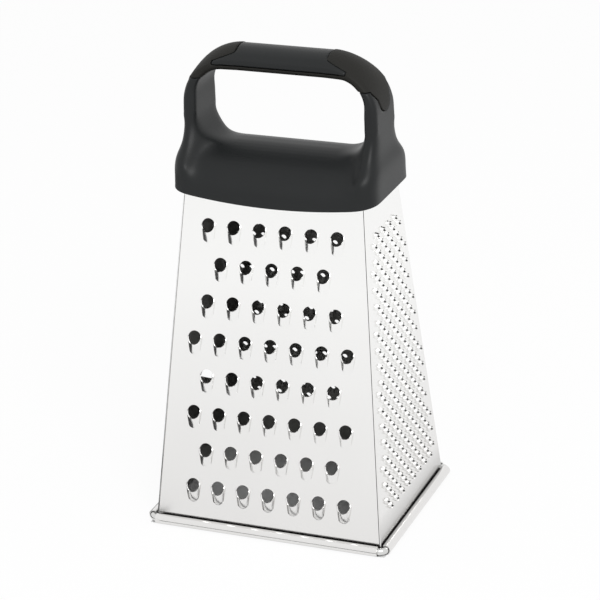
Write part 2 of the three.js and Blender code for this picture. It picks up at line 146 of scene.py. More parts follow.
def loftRings(rings, capped=True):
    # Extrudes the first ring from station to station
    loft = startLoop(rings[0])
    order = {i: i for i in range(len(rings[0]))}
    for ring in rings[1:]:
        bpy.ops.mesh.extrude_region_move()
        mesh = editMesh(loft)
        mesh.verts.index_update()
        fresh = {}
        for vert in mesh.verts:
            if vert.select:
                for edge in vert.link_edges:
                    other = edge.other_vert(vert)
                    if not other.select:
                        fresh[vert.index] = order[other.index]
        for index, place in fresh.items():
            mesh.verts[index].co = ring[place]
        order = fresh
        bmesh.update_edit_mesh(loft.data)
    bpy.ops.mesh.select_all(action="SELECT")
    if capped:
        bpy.ops.mesh.fill_holes(sides=0)
        bpy.ops.mesh.select_all(action="SELECT")
        bpy.ops.mesh.normals_make_consistent(inside=False)
    bpy.ops.object.mode_set(mode="OBJECT")
    return loft


def applyModifier(obj, kind, **settings):
    pickOnly(obj)
    modifier = obj.modifiers.new(kind.lower(), kind)
    for key, value in settings.items():
        setattr(modifier, key, value)
    bpy.ops.object.modifier_apply(modifier=modifier.name)


def combine(obj, other, operation):
    # Joins or cuts one solid with another, which is used up
    applyModifier(obj, "BOOLEAN", object=other, operation=operation, solver="MANIFOLD")
    bpy.data.objects.remove(other)
    return obj


def copyOf(obj):
    twin = obj.copy()
    twin.data = obj.data.copy()
    bpy.context.scene.collection.objects.link(twin)
    return twin


def joinAll(objects):
    pickOnly(*objects)
    bpy.ops.object.join()
    return bpy.context.active_object


def smoothOut(obj, rounds, group=""):
    applyModifier(obj, "SMOOTH", factor=0.5, iterations=rounds, vertex_group=group)


def soften(obj, voxel, rounds):
    # Blends the edges and corners of a moulded solid
    pickOnly(obj)
    obj.data.remesh_voxel_size = voxel
    obj.data.use_remesh_preserve_volume = True
    bpy.ops.object.voxel_remesh()
    smoothOut(obj, rounds)


def finishPiece(obj, name, node, material=None, place=Matrix.Identity(4), angle=40):
    # Puts the piece in its place in metres, gives it its looks and ties it to the frame; a piece that has
    # its materials already keeps them
    pickOnly(obj)
    obj.matrix_world = Matrix.Scale(metre, 4) @ place
    bpy.ops.object.transform_apply(location=True, rotation=True, scale=True)
    bpy.ops.object.shade_smooth_by_angle(angle=math.radians(angle))
    obj.name = name
    obj.data.name = name
    if material:
        obj.data.materials.clear()
        obj.data.materials.append(material)
    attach(obj, "root")
    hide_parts(node)
    print("made", name, len(obj.data.polygons), "faces")


# Materials
class Signal:
    # A socket that takes part in arithmetic
    def __init__(self, tree, socket):
        self.tree = tree
        self.socket = socket

    def math(self, operation, a, b=0.0):
        return self.tree.add("ShaderNodeMath", {"operation": operation}, {0: a, 1: b})

    def __add__(self, other):
        return self.math("ADD", self, other)

    def __sub__(self, other):
        return self.math("SUBTRACT", self, other)

    def __rsub__(self, other):
        return self.math("SUBTRACT", other, self)

    def __mul__(self, other):
        return self.math("MULTIPLY", self, other)

    def __abs__(self):
        return self.math("ABSOLUTE", self)

    def __gt__(self, other):
        return self.math("GREATER_THAN", self, other)

    def __lt__(self, other):
        return self.math("LESS_THAN", self, other)

    def larger(self, other):
        return self.math("MAXIMUM", self, other)

    __radd__ = __add__
    __rmul__ = __mul__


class NodeTree:
    def __init__(self, tree):
        self.nodes = tree.nodes
        self.links = tree.links

    def add(self, kind, settings, inputs, output=0):
        node = self.nodes.new(kind)
        for key, value in settings.items():
            setattr(node, key, value)
        for key, value in inputs.items():
            self.feed(node.inputs[key], value)
        return Signal(self, node.outputs[output]) if output is not None else None

    def feed(self, socket, value):
        if isinstance(value, Signal):
            self.links.new(value.socket, socket)
        else:
            socket.default_value = value

    def place(self):
        return self.add("ShaderNodeTexCoord", {}, {}, "Object")

    def axes(self):
        node = self.add("ShaderNodeSeparateXYZ", {}, {"Vector": self.place()}).socket.node
        return [Signal(self, node.outputs[axis]) for axis in "XYZ"]

    def ramp(self, value, low, high):
        # 0 at low and 1 at high
        return self.add("ShaderNodeMapRange", {}, {"Value": value, "From Min": low, "From Max": high})


noiseMean = 0.5


class Finish(NodeTree):
    # A procedural material with one Principled shader
    def __init__(self, name):
        self.material = bpy.data.materials.new(name)
        self.material.use_nodes = True
        super().__init__(self.material.node_tree)
        self.shader = self.nodes["Principled BSDF"]

    def set(self, **inputs):
        for key, value in inputs.items():
            self.feed(self.shader.inputs[key.replace("_", " ")], value)

    def noise(self, stretch, scale, detail=2.0):
        spread = self.add("ShaderNodeMapping", {}, {"Vector": self.place(), "Scale": stretch})
        return self.add("ShaderNodeTexNoise", {}, {"Vector": spread, "Scale": scale, "Detail": detail}, "Fac")

    def colourBetween(self, factor, low, high):
        low, high = [colour if isinstance(colour, Signal) else (*colour, 1) for colour in (low, high)]
        return self.add(
            "ShaderNodeMix", {"data_type": "RGBA"}, {"Factor": factor, "A": low, "B": high}, "Result"
        )

    def roughness(self, look, grain, cloud):
        # Varies about the look's roughness with its fine grain and its broad clouds
        fine = (grain - noiseMean) * look["grainRoughness"]
        return look["roughness"] + fine + (cloud - noiseMean) * look["cloudRoughness"]

    def bump(self, height, strength, distance):
        self.set(Normal=self.add(
            "ShaderNodeBump", {}, {"Height": height, "Strength": strength, "Distance": distance}, "Normal"
        ))


# Where the steel is dark with shade, in metres: in the crease over each roll, low on the narrow sides,
# in a line along the floor, and on the wire inside the rolls
shade = {
    "colour": (0.006, 0.006, 0.006), "creaseTop": 0.00455, "creaseFade": 0.0006, "creaseDepth": 0.0012,
    "sideDrop": 0.0013, "bareX": 0.0545, "bareY": 0.0430, "sideTop": 0.018, "sideShare": 0.35,
    "lineTop": 0.0011, "lineFade": 0.0007, "lineShare": 0.6,
}


def creaseShade(finish):
    x, y, z = finish.axes()
    leanX = (sheetBody["baseWidth"] - sheetBody["topWidth"]) / 2 / sheetBody["height"]
    leanY = (sheetBody["baseDepth"] - sheetBody["topDepth"]) / 2 / sheetBody["height"]
    pastX = abs(x) + z * leanX - sheetBody["baseWidth"] / 2 * metre
    pastY = abs(y) + z * leanY - sheetBody["baseDepth"] / 2 * metre
    height = z + (pastX > pastY) * shade["sideDrop"]
    crease = finish.ramp(height, shade["creaseTop"], shade["creaseTop"] - shade["creaseFade"])
    side = finish.ramp(z, shade["sideTop"], shade["creaseTop"]) * (pastX > pastY) * shade["sideShare"]
    line = finish.ramp(z, shade["lineTop"], shade["lineTop"] - shade["lineFade"]) * shade["lineShare"]
    return (crease.larger(side) * (pastX.larger(pastY) < shade["creaseDepth"])).larger(line)


def rollShade(finish):
    x, y, _ = finish.axes()
    return (abs(x) < shade["bareX"]).larger(abs(y) < shade["bareY"])


def makeSteel(name, look, shadeOf=None):
    finish = Finish(name)
    grain = finish.noise(look["grainStretch"], look["grainScale"])
    cloud = finish.noise((1, 1, 1), look["cloudScale"])
    # Painted shade: the steel is painted darker towards the floor and reaches its light colour at the look's
    # paleFrom height, mixed with broad random clouds of tone
    height = finish.ramp(finish.axes()[2], 0.0, look["paleFrom"])
    tone = cloud * look["cloudShare"] + height * look["heightShare"]
    colour = finish.colourBetween(tone, look["dark"], look["light"])
    if shadeOf:
        colour = finish.colourBetween(shadeOf(finish), colour, shade["colour"])
    finish.set(Base_Color=colour, Roughness=finish.roughness(look, grain, cloud), Metallic=1.0)
    finish.bump(grain, look["bump"], look["bumpDepth"])
    return finish.material


panelLook = {
    "grainStretch": (1, 1, 0.03), "grainScale": 3400, "cloudScale": 14, "paleFrom": 0.12,
    "dark": (0.74, 0.73, 0.72), "light": (0.96, 0.96, 0.95), "cloudShare": 0.3, "heightShare": 0.7,
    "roughness": 0.17, "grainRoughness": 0.05, "cloudRoughness": 0.04, "bump": 0.03, "bumpDepth": 0.00002,
}
# Painted shade: the inner faces of the sheets take a darker, rougher copy of the panel steel for the dim
# inside of the body
shadedInsideLook = {**panelLook, "dark": (0.26, 0.26, 0.25), "light": (0.33, 0.33, 0.32), "roughness": 0.38}
wireLook = {**panelLook, "grainStretch": (1, 1, 1), "dark": (0.66, 0.66, 0.65), "light": (0.76, 0.76, 0.75)}
screwLook = {**panelLook, "grainStretch": (1, 1, 1), "dark": (0.52, 0.52, 0.50), "light": (0.62, 0.62, 0.60)}

panelSteel = makeSteel("panelSteel", panelLook, creaseShade)
shadedInsideSteel = makeSteel("shadedInsideSteel", shadedInsideLook)
wireSteel = makeSteel("wireSteel", wireLook, rollShade)
screwSteel = makeSteel("screwSteel", screwLook)


def makeMoulded(name, look):
    finish = Finish(name)
    grain = finish.noise((1, 1, 1), look["grainScale"])
    cloud = finish.noise((1, 1, 1), look["cloudScale"])
    finish.set(
        Base_Color=finish.colourBetween(cloud, look["dark"], look["light"]),
        Roughness=finish.roughness(look, grain, cloud),
        Specular_IOR_Level=look["gloss"],
    )
    finish.bump(grain, look["bump"], look["bumpDepth"])
    return finish.material


hardLook = {
    "grainScale": 2400, "cloudScale": 22, "dark": (0.009, 0.010, 0.0105), "light": (0.014, 0.0155, 0.016),
    "roughness": 0.40, "grainRoughness": 0.12, "cloudRoughness": 0.1, "gloss": 0.23, "bump": 0.12,
    "bumpDepth": 0.00008,
}
softLook = {
    **hardLook, "grainScale": 3200, "cloudScale": 30, "dark": (0.010, 0.0097, 0.0083),
    "light": (0.016, 0.0155, 0.0135), "roughness": 0.62, "gloss": 0.2, "bump": 0.2,
}
innerLook = {**hardLook, "dark": (0.008, 0.008, 0.008), "light": (0.013, 0.013, 0.013), "roughness": 0.55}

hardPlastic = makeMoulded("hardPlastic", hardLook)
softRubber = makeMoulded("softRubber", softLook)
innerPlastic = makeMoulded("innerPlastic", innerLook)
print("materials made")


# Pressed sides
def widened(points, distance):
    # Offsets a closed loop, drawn anticlockwise in XY, outward
    wide = []
    for before, here, after in zip(points[-1:] + points[:-1], points, points[1:] + points[:1]):
        along = Vector((after.x - before.x, after.y - before.y, 0)).normalized()
        wide.append(here + Vector((along.y, -along.x, 0)) * distance)
    return wide


def tileFromRings(rings):
    # One pressed tooth from its flat border to its open rim, ready to be joined to a sheet
    tile = loftRings(rings, capped=False)
    border = tile.vertex_groups.new(name="border")
    border.add(list(range(len(rings[0]))), 1.0, "REPLACE")
    wall = tile.vertex_groups.new(name="wall")
    wall.add(list(range(len(tile.data.vertices))), 1.0, "REPLACE")
    return tile


def pressedTile(rim, foot, margin, shares, bulge):
    # A flat border, the slope from the foot to the rim, and the open rim
    rings = [widened(foot, margin), foot]
    for share in shares:
        rings.append([
            Vector((lerp(f.x, r.x, share), lerp(f.y, r.y, share), r.z * (1 - (1 - share) ** bulge)))
            for f, r in zip(foot, rim)
        ])
    return tileFromRings([*rings, rim])


def staggeredRows(side, pattern):
    # Rows of a staggered pattern that fit inside the margins: first place, count and height of each
    top = side.length - pattern["topMargin"]
    count = math.floor((top - pattern["bottomMargin"]) / pattern["rowSpacing"] + rounding) + 1
    rows = []
    for row in range(count):
        y = top - row * pattern["rowSpacing"]
        shift = (row + pattern["firstShift"]) % 2 / 2
        last = math.floor((side.halfAt(y) - pattern["sideMargin"]) / pattern["pitch"] - shift) + shift
        rows.append((-last * pattern["pitch"], int(round(2 * last)) + 1, y))
    return rows


def rowsOfTiles(tile, side, pattern):
    rows = []
    for x, count, y in staggeredRows(side, pattern):
        row = copyOf(tile)
        row.data.transform(Matrix.Translation((x, y, 0)))
        applyModifier(
            row, "ARRAY", count=count, use_relative_offset=False, use_constant_offset=True,
            constant_offset_displace=(pattern["pitch"], 0, 0),
        )
        rows.append(row)
    bpy.data.objects.remove(tile)
    return rows


def pressedSheet(side, tiles):
    # Fills the sheet between its outline and its teeth, then rolls its foot and turns its edges
    sheet = sheetBody["sheet"]
    bottom = side.rollMiddle
    top = side.length
    outline = [
        Vector((-side.halfAt(bottom), bottom, 0)), Vector((side.halfAt(bottom), bottom, 0)),
        Vector((side.halfAt(top), top, 0)), Vector((side.tabHalf, top, 0)),
        Vector((-side.tabHalf, top, 0)), Vector((-side.halfAt(top), top, 0)),
    ]
    plate = startLoop(outline)
    bpy.ops.object.mode_set(mode="OBJECT")
    for group in ("border", "wall"):
        plate.vertex_groups.new(name=group).add(list(range(len(outline))), 1.0, "REPLACE")
    plate = joinAll([plate, *tiles])
    plate.vertex_groups.active_index = plate.vertex_groups["border"].index
    bpy.ops.object.mode_set(mode="EDIT")
    bpy.ops.mesh.select_mode(type="VERT")
    bpy.ops.mesh.select_all(action="DESELECT")
    bpy.ops.object.vertex_group_select()
    bpy.ops.mesh.fill(use_beauty=False)

    def selectEdge(a, b):
        bpy.ops.mesh.select_all(action="DESELECT")
        live = editMesh(plate)
        for vert in live.verts:
            if (vert.co - a).length < samePlace or (vert.co - b).length < samePlace:
                vert.select = True
        live.select_flush(True)
        bmesh.update_edit_mesh(plate.data)

    selectEdge(outline[0], outline[1])
    bpy.ops.mesh.spin(
        steps=sheetBody["rollSteps"], angle=side.rollSweep,
        center=(0, side.rollMiddle, side.rollInner), axis=(1, 0, 0),
    )
    selectEdge(outline[3], outline[4])
    inward = Vector((0, side.sin, -side.cos))
    bpy.ops.mesh.extrude_region_move(TRANSFORM_OT_translate={"value": inward * sheetBody["tabWidth"]})
    for hand in (-1, 1):
        low, high = (outline[1], outline[2]) if hand > 0 else (outline[0], outline[5])
        selectEdge(low, high)
        if side.bentEdges:
            middle = low + Vector((0, 0, -sheetBody["bendRadius"]))
            axis = (low - high).normalized() * hand
            bpy.ops.mesh.spin(steps=sheetBody["bendSteps"], angle=quarter, center=middle, axis=axis)
        else:
            turnedIn = (0, 0, -sheetBody["edgeReturn"])
            bpy.ops.mesh.extrude_region_move(TRANSFORM_OT_translate={"value": turnedIn})
    bpy.ops.mesh.select_all(action="SELECT")
    bpy.ops.mesh.normals_make_consistent(inside=False)
    if sum(face.normal.z * face.calc_area() for face in editMesh(plate).faces) < 0:
        bpy.ops.mesh.flip_normals()
    bpy.ops.object.mode_set(mode="OBJECT")
    # The inner faces get the darker copy of the steel, which is painted shade
    for steel in (panelSteel, shadedInsideSteel):
        plate.data.materials.append(steel)
    applyModifier(
        plate, "SOLIDIFY", thickness=sheet, offset=-1, vertex_group="wall", material_offset=1,
        material_offset_rim=0, use_even_offset=False,
    )
    rollTop = side.rollMiddle + side.rollOuter
    for face in plate.data.polygons:
        if face.center.y < rollTop and face.center.z > sheet:
            face.material_index = 0
    return plate


def finishSide(side, tiles, name, node, turns):
    finishPiece(pressedSheet(side, tiles), name, node, place=side.placed(turns))


coarseTooth = {
    "pitch": 12.5, "rowSpacing": 17.9, "topMargin": 23.6, "bottomMargin": 18, "sideMargin": 10,
    "firstShift": 1, "hole": 6.3, "lip": 2.7, "flank": 0.6, "tail": 8.6, "taper": 0.40, "tailRound": 1.8,
    "square": 1.7, "round": 0.62, "points": 36, "margin": 0.6, "shares": (0.12, 0.26, 0.42, 0.6, 0.8),
}
scoop = {"taperCurve": 1.3, "runCurve": 1.3, "crest": 0.16, "crestSpan": 3}  # shared by both scoop sizes


def scoopHalf(tooth, y):
    # Half width of a scoop at a height on the sheet, measured from the middle of its hole
    below = clamp(-y / tooth["tail"], 0, 1)
    end = clamp((below * tooth["tail"] - tooth["tail"] + tooth["tailRound"]) / tooth["tailRound"], 0, 1)
    wide = tooth["hole"] / 2 + tooth["flank"]
    return wide * (1 - tooth["taper"] * below ** scoop["taperCurve"]) * math.sqrt(1 - end * end)


def scoopRise(tooth, x, y):
    # How far the scoop stands out: a rounded section, tallest at the hole and running out at its tail
    reach = scoopHalf(tooth, y)
    if abs(x) >= reach:
        return 0.0
    peak = scoop["crest"] * tooth["hole"]
    section = (1 - (abs(x) / reach) ** tooth["square"]) ** tooth["round"]
    climb = clamp((y + tooth["tail"]) / (tooth["tail"] - peak), 0, 1)
    run = 1 - (1 - climb) ** scoop["runCurve"]
    return tooth["lip"] * section * run * (1 - smoothStep((y + peak) / (scoop["crestSpan"] * peak)))


def scoopTile(tooth):
    # A round hole whose lower rim is pressed out into a scoop with a rounded tail
    radius = tooth["hole"] / 2
    rim = []
    foot = []
    for i in range(tooth["points"]):
        turn = 2 * math.pi * i / tooth["points"]
        c, s = math.cos(turn), math.sin(turn)
        rim.append((radius * c, radius * s))
        wide = radius + tooth["flank"]
        y = wide * s if s >= 0 else tooth["tail"] * s
        foot.append((wide * c if s >= 0 else math.copysign(scoopHalf(tooth, y), c), y))
    flat = [Vector((x, y, 0)) for x, y in foot]
    rings = [widened(flat, tooth["margin"]), flat]
    for share in (*tooth["shares"], 1.0):
        ring = []
        for (footX, footY), (rimX, rimY) in zip(foot, rim):
            x, y = lerp(footX, rimX, share), lerp(footY, rimY, share)
            ring.append(Vector((x, y, scoopRise(tooth, x, y))))
        rings.append(ring)
    return tileFromRings(rings)


def makeCoarseSide():
    tiles = rowsOfTiles(scoopTile(coarseTooth), broadSide, coarseTooth)
    finishSide(broadSide, tiles, "coarseSide", "coarse_panel", 0)


mediumTooth = {
    "pitch": 5.18, "rowSpacing": 6.24, "topMargin": 22, "bottomMargin": 25, "sideMargin": 8, "firstShift": 0,
    "hole": 2.8, "lip": 1.25, "flank": 0.3, "tail": 3.7, "taper": 0.40, "tailRound": 0.8, "square": 2.2,
    "round": 0.55, "points": 14, "margin": 0.25, "shares": (0.3, 0.65),
}


def makeMediumSide():
    tiles = rowsOfTiles(scoopTile(mediumTooth), broadSide, mediumTooth)
    finishSide(broadSide, tiles, "mediumSide", "medium_panel", 2)


fineBurr = {
    "pitch": 8.0, "rowSpacing": 3.94, "topMargin": 24.8, "bottomMargin": 16, "sideMargin": 5.6,
    "firstShift": 1, "foot": 3.4, "tip": 2.3, "height": 1.7, "points": 16, "margin": 0.35,
    "shares": (0.4, 0.75), "bulge": 0.9, "thinFrom": 0.3, "tipWall": 0.3, "petals": 4, "ragged": 0.36,
    "flare": 0.12,
}


def makeFineSide():
    # Burrs pierced from behind: a crater torn open into petals
    rim = []
    foot = []
    for i in range(fineBurr["points"]):
        turn = 2 * math.pi * i / fineBurr["points"]
        c, s = math.cos(turn), math.sin(turn)
        petal = -math.cos(fineBurr["petals"] * turn)
        radius = fineBurr["tip"] / 2 * (1 + fineBurr["flare"] * petal)
        rim.append(Vector((radius * c, radius * s, fineBurr["height"] - fineBurr["ragged"] * (1 - petal))))
        foot.append(Vector((fineBurr["foot"] / 2 * c, fineBurr["foot"] / 2 * s, 0)))
    tile = pressedTile(rim, foot, fineBurr["margin"], fineBurr["shares"], fineBurr["bulge"])
    thinAbove = fineBurr["thinFrom"] * fineBurr["height"]
    raised = [vert.index for vert in tile.data.vertices if vert.co.z > thinAbove]
    tile.vertex_groups["wall"].add(raised, fineBurr["tipWall"], "REPLACE")
    finishSide(narrowSide, rowsOfTiles(tile, narrowSide, fineBurr), "fineSide", "fine_panel", 1)


slicerSlot = {
    "spacing": 29.5, "topMargin": 23.5, "bottomMargin": 20, "sideMargin": 14, "slant": math.radians(26.5),
    "longest": 46, "opening": 5, "lip": 2.4, "heel": 0.3, "tail": 6.5, "tailCurve": 0.6, "endRun": 6,
    "corner": 1.6, "cornerFoot": 0.35, "margin": 0.8, "shares": (0.25, 0.5, 0.75), "bulge": 1.5,
    "bladeSteps": 12, "cornerSteps": 4,
}


def slotTile(long, y):
    # A straight window whose lower edge is pressed out into a blade
    half = (long - slicerSlot["endRun"]) / 2
    corner, cornerFoot = slicerSlot["corner"], slicerSlot["cornerFoot"]
    rim = []
    foot = []
    for i in range(slicerSlot["bladeSteps"] + 1):
        x = lerp(-half, half, i / slicerSlot["bladeSteps"])
        rise = smoothStep((half - abs(x)) / (slicerSlot["endRun"] / 2))
        tail = lerp(slicerSlot["heel"], slicerSlot["tail"], rise ** slicerSlot["tailCurve"])
        rim.append(Vector((x, 0, rise * slicerSlot["lip"])))
        foot.append(Vector((x * long / 2 / half, -tail, 0)))
    for hand in (1, -1):
        for k in range(slicerSlot["cornerSteps"] + 1):
            turn = quarter * k / slicerSlot["cornerSteps"] + (0 if hand > 0 else quarter)
            c, s = math.cos(turn), math.sin(turn)
            x = hand * (half - corner) + corner * c
            top = slicerSlot["opening"] - corner + corner * s
            rim.append(Vector((x, top, 0)))
            foot.append(Vector((x + cornerFoot * c, top + cornerFoot * s, 0)))
    tile = pressedTile(rim, foot, slicerSlot["margin"], slicerSlot["shares"], slicerSlot["bulge"])
    tile.data.transform(Matrix.Translation((0, y, 0)) @ Matrix.Rotation(slicerSlot["slant"], 4, "Z"))
    return tile


def makeSlicingSide():
    tiles = []
    y = narrowSide.length - slicerSlot["topMargin"]
    while y > slicerSlot["bottomMargin"]:
        room = 2 * (narrowSide.halfAt(y) - slicerSlot["sideMargin"]) / math.cos(slicerSlot["slant"])
        tiles.append(slotTile(min(slicerSlot["longest"], room), y))
        y -= slicerSlot["spacing"]
    finishSide(narrowSide, tiles, "slicingSide", "slicing_panel", 3)


makeCoarseSide()
makeFineSide()
makeMediumSide()
makeSlicingSide()


# Wire ring in the rolled feet
wireRing = {"bend": 3.0, "bendSteps": 8, "facets": 18}


def makeBaseWire():
    reachX, reachY, bend = narrowSide.wireReach, broadSide.wireReach, wireRing["bend"]
    radius = sheetBody["wireRadius"]
    rings = []
    for cornerIndex, (a, b) in enumerate(((1, 1), (-1, 1), (-1, -1), (1, -1))):
        for k in range(wireRing["bendSteps"] + 1):
            turn = (cornerIndex + k / wireRing["bendSteps"]) * quarter
            out = Vector((math.cos(turn), math.sin(turn), 0))
            middle = Vector((a * (reachX - bend), b * (reachY - bend), narrowSide.rollOuter)) + out * bend
            ring = []
            for i in range(wireRing["facets"]):
                angle = 2 * math.pi * i / wireRing["facets"]
                up = Vector((0, 0, radius * math.sin(angle)))
                ring.append(middle + out * radius * math.cos(angle) + up)
            rings.append(ring)
    wire = loftRings(rings, capped=False)
    pickOnly(wire)
    bpy.ops.object.mode_set(mode="EDIT")
    bpy.ops.mesh.select_all(action="DESELECT")
    bpy.ops.mesh.select_non_manifold(
        use_wire=False, use_multi_face=False, use_non_contiguous=False, use_verts=False
    )
    bpy.ops.mesh.bridge_edge_loops()
    bpy.ops.mesh.select_all(action="SELECT")
    bpy.ops.mesh.normals_make_consistent(inside=False)
    bpy.ops.object.mode_set(mode="OBJECT")
    finishPiece(wire, "baseWire", "base_wire", wireSteel)


makeBaseWire()


# Handle moulding
bail = {
    "rise": 56.2, "skirtMarginX": 6.1, "skirtMarginY": 6.1, "skirtCorner": 9.0, "skirtDrop": 7.2,
    "skirtDip": 4.3, "skirtSteps": 24, "skirtEndRise": 6.0, "shoulderDrop": 6.0, "saddleRise": 11.5,
    "saddleInset": 6.0, "saddleDepth": 4.0, "roofCurve": 1.6, "roofSteps": 16, "roofCornerSteps": 8,
    "roofCornerShare": 0.45, "postFootRise": 12.0, "postInset": 2.6, "postSpreadOut": 0.8,
    "postThickness": 6.3, "postDepth": 26.0, "flareRise": 31.0, "flareFootRise": 4.0, "flareCurve": 2.4,
    "footRadius": 12.0, "footDepth": 18.0, "edgeRadius": 2.4, "leastEdge": 0.5, "edgeShare": 0.9,
    "barThickness": 10.0, "barDepth": 22.0, "barCrown": 4.6, "barEdgeRadius": 3.6, "bendRadius": 26.0,
    "palmRadius": 11.8, "footSteps": 34, "cornerSteps": 24, "edgeSteps": 6, "crownSteps": 10,
    "voxel": 0.7, "rounds": 3, "covePasses": 8, "coveRounds": 16, "coveGrowth": 5, "coveTop": 196.0,
    "coveAngle": -0.09, "feetFrom": 24.0, "feetLow": 157.0, "feetHigh": 192.0, "feetFade": 5.0,
    "feetRounds": 120, "smoothAngle": 60,
}
handleTop = sheetBody["height"] + bail["rise"]
skirtHalfX = sheetBody["topWidth"] / 2 + bail["skirtMarginX"]
skirtHalfY = sheetBody["topDepth"] / 2 + bail["skirtMarginY"]
postOuter = skirtHalfX - bail["postInset"]


def roundedRing(halfA, halfB, radius, steps):
    # Corner points of a rectangle with rounded corners, anticlockwise
    radius = min(radius, halfA - samePlace, halfB - samePlace)
    ring = []
    for cornerIndex, (a, b) in enumerate(((1, 1), (-1, 1), (-1, -1), (1, -1))):
        for k in range(steps + 1):
            turn = (cornerIndex + k / steps) * quarter
            ring.append((
                a * (halfA - radius) + radius * math.cos(turn), b * (halfB - radius) + radius * math.sin(turn)
            ))
    return ring


def alongPath(pieces, t):
    # Point at a share of the length of a path of straight runs and quarter turns
    rest = t * sum(length for length, _ in pieces)
    for length, place in pieces:
        if rest <= length + rounding:
            return place(rest / length)
        rest -= length
    return pieces[-1][1](1)


def strapStations():
    # The bail from the right foot over the bar to the left foot: outer and inner edge in XZ, half depth at
    # both, edge radius and crown, the share of the outer half that is lost at the front and back edges
    innerX = postOuter - bail["postThickness"]
    innerZ = handleTop - bail["barThickness"]
    cornerX = postOuter - bail["bendRadius"]
    cornerZ = handleTop - bail["bendRadius"]
    palm = bail["palmRadius"]
    height = sheetBody["height"]
    stations = []
    for i in range(bail["footSteps"]):
        z = lerp(height - bail["shoulderDrop"], cornerZ, i / bail["footSteps"])
        rise = z - height
        drop = clamp(bail["saddleRise"] + bail["footRadius"] - rise, 0, bail["footRadius"])
        fillet = bail["footRadius"] - math.sqrt(bail["footRadius"] ** 2 - drop ** 2)
        flareRange = bail["flareRise"] - bail["flareFootRise"]
        flare = clamp((bail["flareRise"] - rise) / flareRange, 0, 1) ** bail["flareCurve"]
        depth = lerp(bail["postDepth"], 2 * skirtHalfY - sheetBody["gap"], flare)
        narrow = lerp(depth, min(depth, bail["footDepth"]), fillet / bail["footRadius"])
        lean = bail["postSpreadOut"] * (cornerZ - z) / (cornerZ - height)
        step = smoothStep((bail["postFootRise"] - rise) / (bail["postFootRise"] - bail["skirtEndRise"]))
        stations.append((
            Vector((lerp(postOuter + lean, skirtHalfX - sheetBody["gap"] / 2, step), z)),
            Vector((innerX + lean - fillet, z)), depth / 2, narrow / 2,
            lerp(bail["edgeRadius"], bail["skirtCorner"], flare), 0.0,
        ))
    innerPath = [
        (innerZ - palm - cornerZ, lambda t: Vector((innerX, lerp(cornerZ, innerZ - palm, t)))),
        (palm * quarter, lambda t: Vector((
            innerX - palm + palm * math.cos(t * quarter), innerZ - palm + palm * math.sin(t * quarter)
        ))),
        (innerX - palm - cornerX, lambda t: Vector((lerp(innerX - palm, cornerX, t), innerZ))),
    ]
    for i in range(bail["cornerSteps"] + 1):
        t = i / bail["cornerSteps"]
        turn = t * quarter
        outer = Vector((
            cornerX + bail["bendRadius"] * math.cos(turn), cornerZ + bail["bendRadius"] * math.sin(turn)
        ))
        inner = alongPath(innerPath, t)
        depth = lerp(bail["postDepth"], bail["barDepth"], t)
        stations.append((
            outer, inner, depth / 2, depth / 2, lerp(bail["edgeRadius"], bail["barEdgeRadius"], t),
            2 * bail["barCrown"] * smoothStep(t) / (outer - inner).length,
        ))
    left = [
        (Vector((-outer.x, outer.y)), Vector((-inner.x, inner.y)), *rest)
        for outer, inner, *rest in reversed(stations)
    ]
    return stations + left


def makeStrap(growth):
    # The whole bail as a solid, grown or shrunk all round
    rings = []
    for outer, inner, deep, narrow, radius, crown in strapStations():
        middle = (outer + inner) / 2
        across = outer - inner
        halfThickness = across.length / 2 + growth
        across.normalize()
        halfDeep = deep + growth
        edge = clamp(radius + growth, bail["leastEdge"], bail["edgeShare"] * halfThickness)
        flat = roundedRing(halfThickness, halfDeep, edge, bail["edgeSteps"])
        end = flat[0][1]
        for i in range(1, bail["crownSteps"]):
            flat.append((halfThickness, lerp(-end, end, i / bail["crownSteps"])))
        ring = []
        for x, y in flat:
            share = (narrow + growth) / halfDeep if x < 0 else 1
            sunk = x * (1 - crown * (y / halfDeep) ** 2) if x > 0 else x
            ring.append(Vector((middle.x + across.x * sunk, y * share, middle.y + across.y * sunk)))
        rings.append(ring)
    return loftRings(rings)


def makeSaddle():
    # Upright skirt that rounds over to the saddle's top
    shoulder = sheetBody["height"] - bail["shoulderDrop"]
    saddleTop = sheetBody["height"] + bail["saddleRise"]
    low = sheetBody["height"] - bail["skirtDrop"] - 2 * bail["skirtDip"]

    def section(inset, depth, z):
        radius = min(bail["skirtCorner"], bail["roofCornerShare"] * depth)
        ring = roundedRing(skirtHalfX - inset, depth / 2, radius, bail["roofCornerSteps"])
        return [Vector((x, y, z)) for x, y in ring]

    rings = [section(0, 2 * skirtHalfY, low)]
    for i in range(bail["roofSteps"]):
        turn = i / (bail["roofSteps"] - 1) * quarter
        over = 1 - max(math.cos(turn), 0) ** (2 / bail["roofCurve"])
        rings.append(section(
            bail["saddleInset"] * over, lerp(2 * skirtHalfY, bail["saddleDepth"], over),
            lerp(shoulder, saddleTop, math.sin(turn) ** (2 / bail["roofCurve"])),
        ))
    return loftRings(rings)


def frontPrism(outline, half):
    # A prism along Y from an outline in XZ
    return loftRings([[Vector((x, y, z)) for x, z in outline] for y in (-half, half)])


def belowSkirt():
    # Everything under the skirt's lower edge, which dips in the middle of the front and back
    half = skirtHalfX
    edge = sheetBody["height"] - bail["skirtDrop"]
    low = edge - 4 * bail["skirtDip"]
    curve = []
    for i in range(bail["skirtSteps"] + 1):
        x = lerp(half, -half, i / bail["skirtSteps"])
        curve.append((x, edge - bail["skirtDip"] * (1 - (x / half) ** 2)))
    return frontPrism([(-half, low), (half, low), *curve], 2 * skirtHalfY)


def bodyRoom(margin):
    # Room for the sheet body inside the skirt
    low = sheetBody["height"] - bail["skirtDrop"] - 4 * bail["skirtDip"]
    rings = []
    for z in (low, sheetBody["height"] + margin):
        a, b = halfWidth(z) + margin, halfDepth(z) + margin
        rings.append([Vector((a, b, z)), Vector((-a, b, z)), Vector((-a, -b, z)), Vector((a, -b, z))])
    return loftRings(rings)


